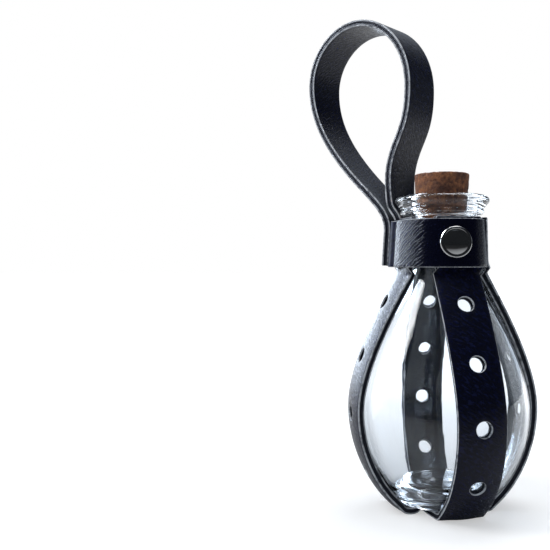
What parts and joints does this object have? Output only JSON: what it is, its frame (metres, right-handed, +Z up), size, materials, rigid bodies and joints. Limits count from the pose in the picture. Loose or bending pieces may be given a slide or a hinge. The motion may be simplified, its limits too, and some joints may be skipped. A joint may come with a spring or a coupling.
{
  "type": "potion bottle",
  "caption": "Clear bulb-shaped glass flask with a cork, carried in a crossed leather strap harness with a snap collar and a tall hanging loop.",
  "frame": {"origin": "on the floor under the middle of the bottle, on the underside of the lower crossing strap", "axes": "+Z up along the bottle's axis, -Y to the snap at the front, +X to the right"},
  "size_m": [0.0909, 0.0875, 0.205],
  "materials": {
    "clear_glass": "clear, fire-polished, slightly wavy",
    "cork": "dark natural cork, matte, pitted",
    "black_leather": "black-navy grained leather, satin",
    "leather_lining": "dark leather lining ply, matte",
    "polished_nickel": "polished nickel"
  },
  "bodies": {
    "harness": {"cross_strap_front_back_outer": "black_leather", "cross_strap_front_back_lining": "leather_lining", "cross_strap_left_right_outer": "black_leather", "cross_strap_left_right_lining": "leather_lining", "neck_band": "black_leather", "snap_stud": "polished_nickel", "snap_eyelet": "polished_nickel", "loop_tucked_end_outer": "black_leather", "loop_tucked_end_lining": "leather_lining", "loop_riveted_end_outer": "black_leather", "loop_riveted_end_lining": "leather_lining", "loop_rivet_cap_lower": "polished_nickel", "loop_rivet_cap_upper": "polished_nickel", "loop_rivet_post_lower": "polished_nickel", "loop_rivet_post_upper": "polished_nickel"},
    "bottle": {"glass_bottle": "clear_glass"},
    "cork": {"cork_stopper": "cork"},
    "collar_flap": {"neck_band_flap": "black_leather", "snap_cap": "polished_nickel", "snap_socket": "polished_nickel"},
    "loop": {"hanger_loop_outer": "black_leather", "hanger_loop_lining": "leather_lining"}
  },
  "joints": [
    {"name": "bottle_turn", "type": "hinge", "parent": "harness", "child": "bottle", "pos_m": [0, 0, 0], "axis": [0, 0, 1], "continuous": true},
    {"name": "cork_pull", "type": "slide", "parent": "bottle", "child": "cork", "axis": [0, 0, 1], "range_m": [0, 0.018]},
    {"name": "flap_open", "type": "hinge", "parent": "harness", "child": "collar_flap", "pos_m": [0.01196, -0.01425, 0.1078], "axis": [0, 0, 1], "range_deg": [0, 110]},
    {"name": "loop_fold", "type": "hinge", "parent": "harness", "child": "loop", "pos_m": [-0.01806, 0.01649, 0.11747], "axis": [-0.6743, -0.7385, 0], "range_deg": [0, 60], "stiffness_Nm_per_rad": 0.15, "springref_deg": -5.73}
  ]
}
